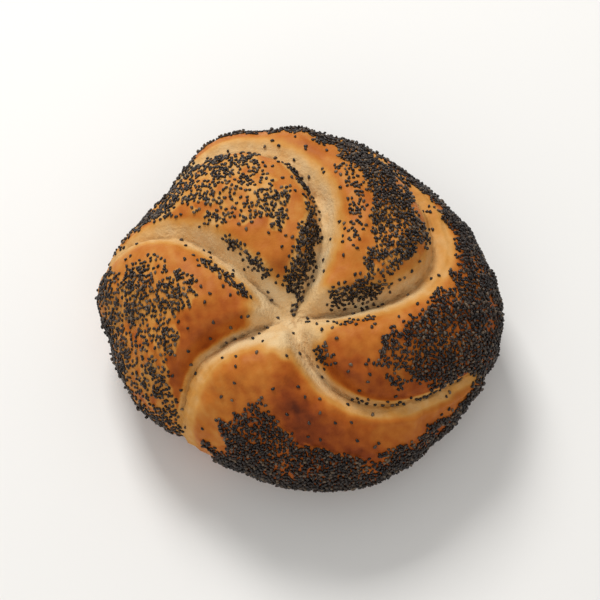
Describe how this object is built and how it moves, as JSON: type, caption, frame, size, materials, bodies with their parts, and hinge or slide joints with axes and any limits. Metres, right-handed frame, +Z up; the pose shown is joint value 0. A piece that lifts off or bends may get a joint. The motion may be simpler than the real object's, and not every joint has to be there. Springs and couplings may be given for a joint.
{
  "type": "kaiser roll",
  "caption": "Round white bread roll with a domed top parted by five curved cuts that meet in a star, and poppy seeds baked onto its lobes.",
  "frame": {"origin": "middle of the flat base, on the surface that the roll stands on", "axes": "+Z up out of the top, +X to the right and +Y away, as seen from the side that the star leans towards"},
  "size_m": [0.1105, 0.1057, 0.0483],
  "materials": {
    "crust": "thin baked wheat crust, golden brown with pale cream cuts, satin",
    "poppy_seed": "slate black poppy seed with a dull waxy sheen"
  },
  "bodies": {
    "root": {"kaiser_roll": "crust"}
  },
  "joints": []
}
